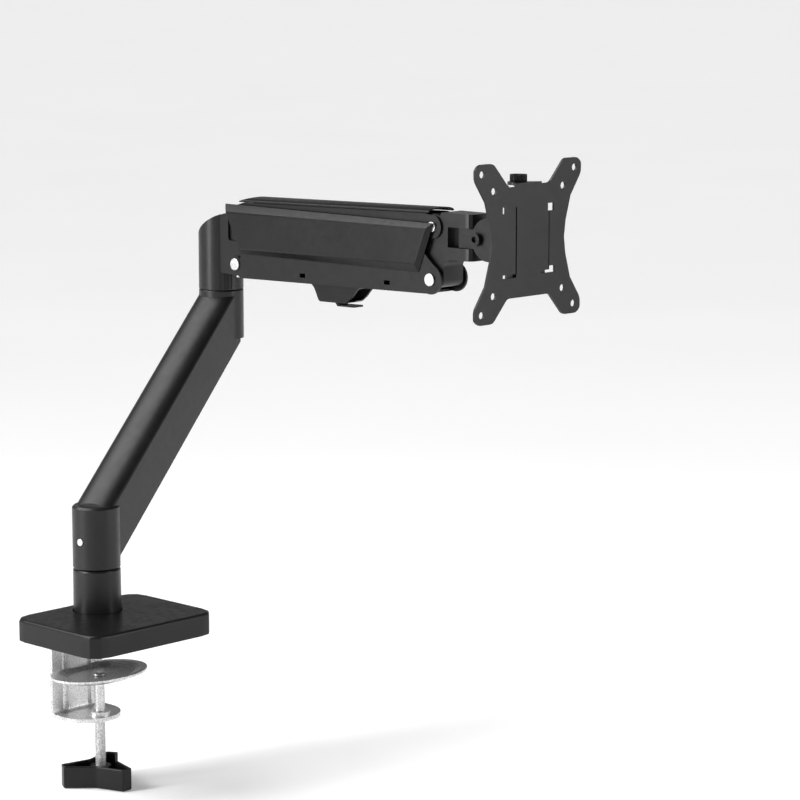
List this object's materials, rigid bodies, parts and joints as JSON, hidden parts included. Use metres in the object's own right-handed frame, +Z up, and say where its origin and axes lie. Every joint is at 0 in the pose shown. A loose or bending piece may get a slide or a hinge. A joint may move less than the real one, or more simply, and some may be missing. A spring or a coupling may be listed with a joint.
{
  "type": "desk-clamp monitor arm",
  "caption": "Jointed arm that clamps to a desk edge and holds a flat monitor on a gas-spring lift, with a levelling head and a quick-release plate.",
  "frame": {"origin": "on the axis of the base post, at the underside of the desk pad, which is the desk surface", "axes": "+Z up; +X along the back edge of the desk; +Y away from the user, so the monitor faces -Y"},
  "size_m": [0.3085, 0.344, 0.4723],
  "materials": {
    "black_paint": "satin black powder coat",
    "black_casting": "aluminium casting under satin black powder coat",
    "black_plastic": "fine-grained black plastic",
    "zinc": "bright zinc plate",
    "steel": "turned steel",
    "foam": "closed-cell foam",
    "nylon": "natural nylon"
  },
  "bodies": {
    "base": {"desk_pad": "foam", "base_cover": "black_plastic", "base_plate": "black_paint", "base_post": "black_casting", "clamp_bracket": "zinc", "base_bolt_1": "zinc", "base_bolt_2": "zinc", "base_bolt_3": "zinc", "base_bolt_4": "zinc"},
    "pressure_plate": {"pressure_plate": "zinc"},
    "clamp_screw": {"clamp_screw": "zinc", "clamp_knob": "black_plastic"},
    "lower_arm": {"lower_arm_casting": "black_casting", "under_cover": "black_plastic", "swivel_lock_screw": "zinc", "post_bush": "nylon", "elbow_bush": "nylon"},
    "elbow": {"elbow_knuckle": "black_casting", "elbow_spindle": "steel", "tension_screw": "zinc", "rear_lower_pin": "zinc", "rear_upper_pin": "zinc"},
    "upper_arm": {"arm_channel": "black_paint", "side_cover_left": "black_plastic", "side_cover_right": "black_plastic", "cable_clip": "black_plastic", "spring_pin": "zinc", "gas_barrel": "black_paint"},
    "gas_rod": {"gas_rod": "steel"},
    "top_link": {"top_link": "black_paint", "top_cap": "black_plastic"},
    "head_link": {"head_link": "black_casting", "front_lower_pin": "zinc", "front_upper_pin": "zinc", "swivel_pin": "steel"},
    "swivel": {"swivel_tongue": "black_casting"},
    "tilt": {"tilt_bracket": "black_paint", "tilt_bolt": "black_paint", "tilt_nut": "black_paint", "tilt_washer_left": "nylon", "tilt_washer_right": "nylon", "turn_washer": "nylon"},
    "turn": {"turn_disc": "black_paint", "turn_bolt": "black_paint", "turn_nut": "zinc", "receiver_plate": "black_paint"},
    "quick_release": {"vesa_plate": "black_paint", "slide_rail_left": "black_paint", "slide_rail_right": "black_paint"},
    "thumb_screw": {"thumb_screw": "black_plastic"}
  },
  "joints": [
    {"name": "clamp_travel", "type": "slide", "parent": "base", "child": "pressure_plate", "axis": [0, 0, 1], "range_m": [-0.02, 0.02]},
    {"name": "screw_turn", "type": "hinge", "parent": "pressure_plate", "child": "clamp_screw", "pos_m": [-0.0038, -0.0052, -0.06], "axis": [0, 0, 1], "range_deg": [-5800, 5800]},
    {"name": "post_turn", "type": "hinge", "parent": "base", "child": "lower_arm", "pos_m": [0, 0, 0.05], "axis": [0, 0, 1], "range_deg": [-90, 90]},
    {"name": "elbow_turn", "type": "hinge", "parent": "lower_arm", "child": "elbow", "pos_m": [0.18908, 0.06518, 0.2374], "axis": [0, 0, 1], "range_deg": [-35, 160]},
    {"name": "lift", "type": "hinge", "parent": "elbow", "child": "upper_arm", "pos_m": [0.18908, 0.03258, 0.2602], "axis": [-1, 0, 0], "range_deg": [-30, 18]},
    {"name": "top_link_pivot", "type": "hinge", "parent": "elbow", "child": "top_link", "pos_m": [0.18908, 0.03258, 0.2992], "axis": [-1, 0, 0], "range_deg": [-30, 18]},
    {"name": "head_level", "type": "hinge", "parent": "upper_arm", "child": "head_link", "pos_m": [0.18908, -0.17757, 0.26501], "axis": [-1, 0, 0], "range_deg": [-18, 30]},
    {"name": "spring_stroke", "type": "slide", "parent": "upper_arm", "child": "gas_rod", "axis": [0, 0.9969, -0.0783], "range_m": [-0.008, 0.008]},
    {"name": "head_swivel", "type": "hinge", "parent": "head_link", "child": "swivel", "pos_m": [0.18908, -0.20282, 0.297], "axis": [0, 0, 1], "range_deg": [-50, 50]},
    {"name": "head_tilt", "type": "hinge", "parent": "swivel", "child": "tilt", "pos_m": [0.18908, -0.22282, 0.298], "axis": [-1, 0, 0], "range_deg": [-45, 45]},
    {"name": "head_turn", "type": "hinge", "parent": "tilt", "child": "turn", "pos_m": [0.18908, -0.25282, 0.298], "axis": [0, -1, 0], "range_deg": [-90, 90]},
    {"name": "plate_slide", "type": "slide", "parent": "turn", "child": "quick_release", "axis": [0, 0, 1], "range_m": [0, 0.05]},
    {"name": "thumb_turn", "type": "hinge", "parent": "quick_release", "child": "thumb_screw", "pos_m": [0.18908, -0.25082, 0.345], "axis": [0, 0, 1], "continuous": true}
  ],
  "couplings": [
    {"joint": "screw_turn", "follows": "clamp_travel", "rad_per_m": 5026.5},
    {"joint": "top_link_pivot", "follows": "lift", "ratio": 1},
    {"joint": "head_level", "follows": "lift", "ratio": -1},
    {"joint": "spring_stroke", "follows": "lift", "m_per_rad": 0.0111}
  ]
}
